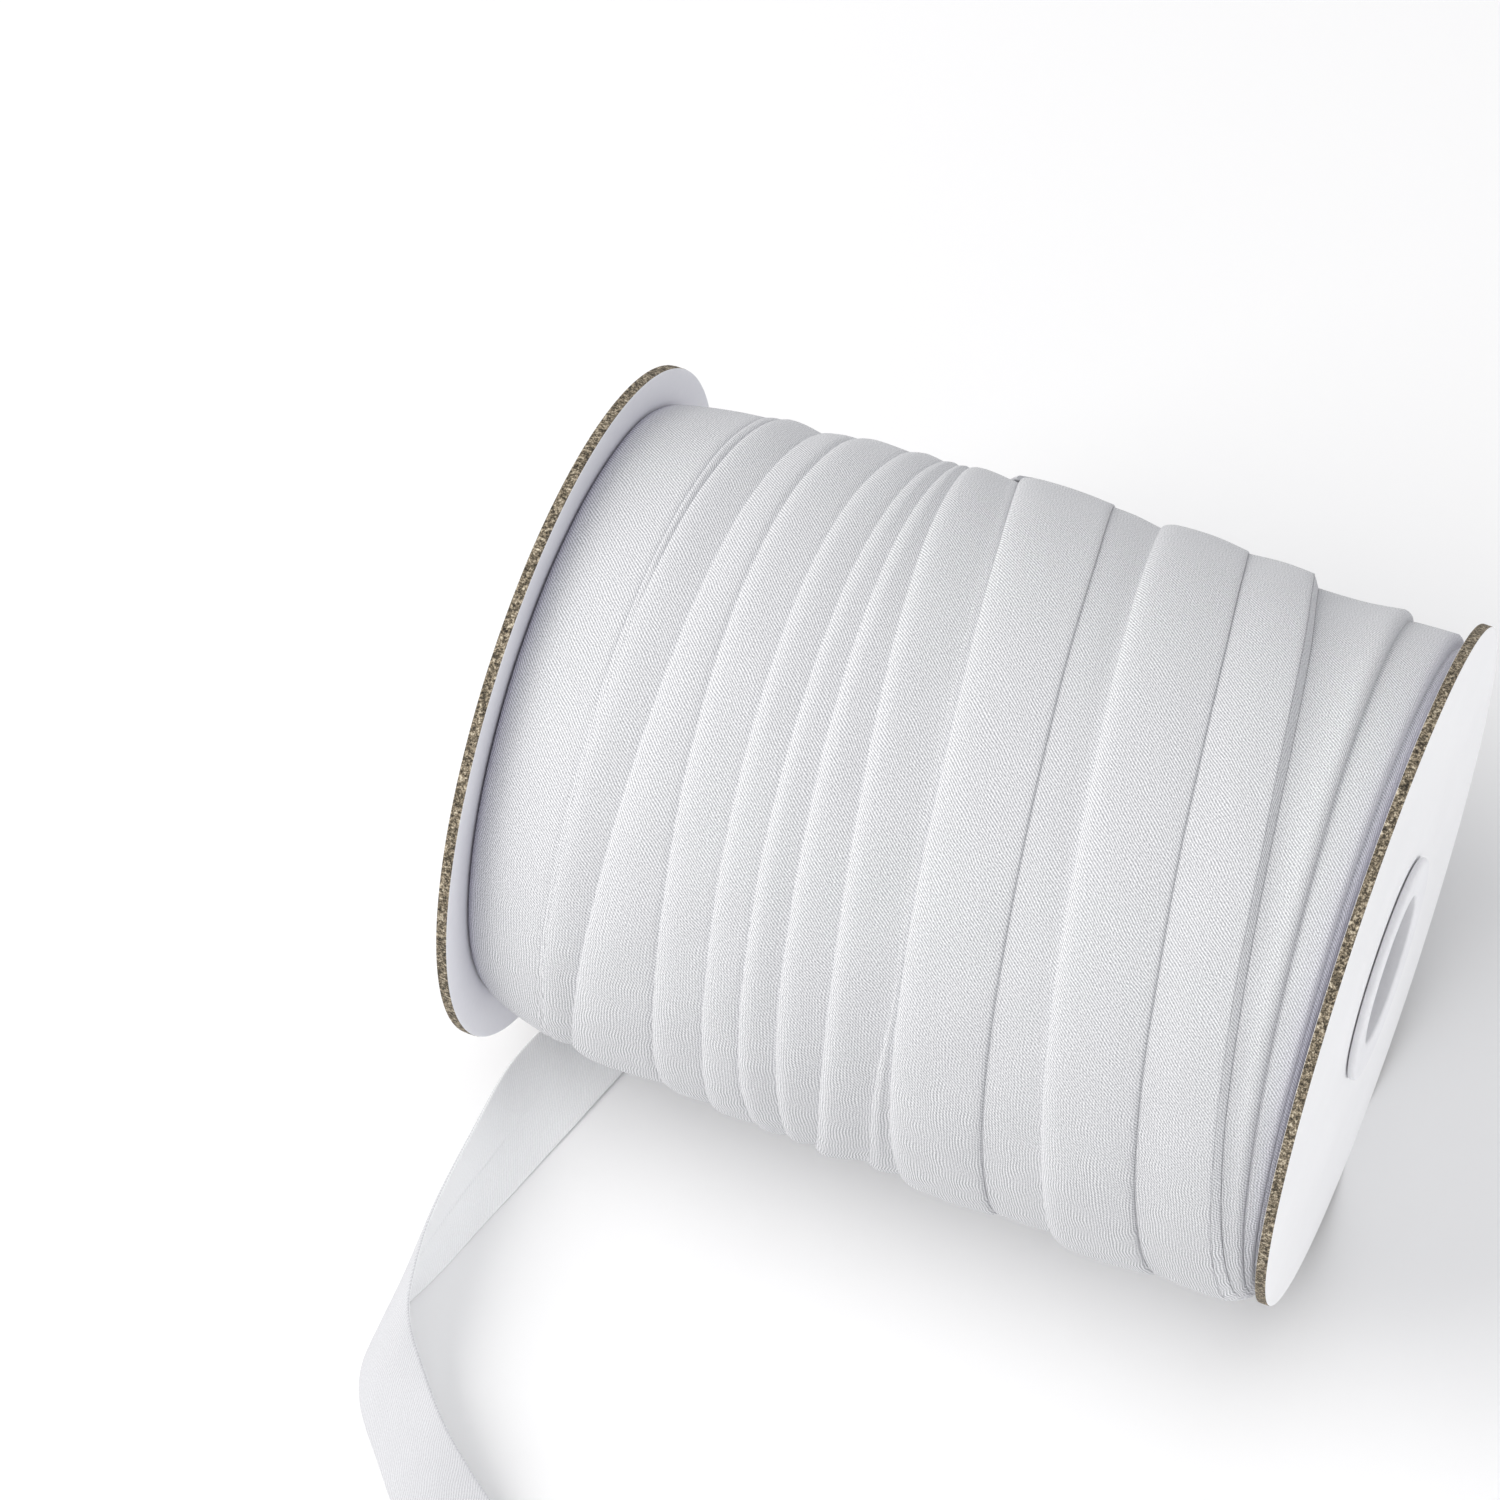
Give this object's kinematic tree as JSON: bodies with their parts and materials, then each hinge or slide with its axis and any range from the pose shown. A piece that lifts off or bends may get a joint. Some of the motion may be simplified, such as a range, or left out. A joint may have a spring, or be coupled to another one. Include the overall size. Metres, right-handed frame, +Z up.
{
  "type": "roll of bias tape",
  "caption": "White folded bias tape wound on a white card spool, with its free end lying on the table and rolled over by half a turn.",
  "frame": {"origin": "on the table under the middle of the winding, on the flat that the winding is pressed to underneath", "axes": "+X along the spool's axis, from the left disc to the right disc; +Z up; the free end comes forward along -Y"},
  "size_m": [0.1129, 0.1574, 0.0902],
  "materials": {
    "tape_cloth": "matt",
    "free_cloth": "matt",
    "left_card": "matt",
    "right_card": "satin",
    "tube_paper": "matt"
  },
  "bodies": {
    "root": {"wound_tape": "tape_cloth", "free_end": "free_cloth", "flange_left": "left_card", "flange_right": "right_card", "core_tube": "tube_paper"}
  },
  "joints": []
}
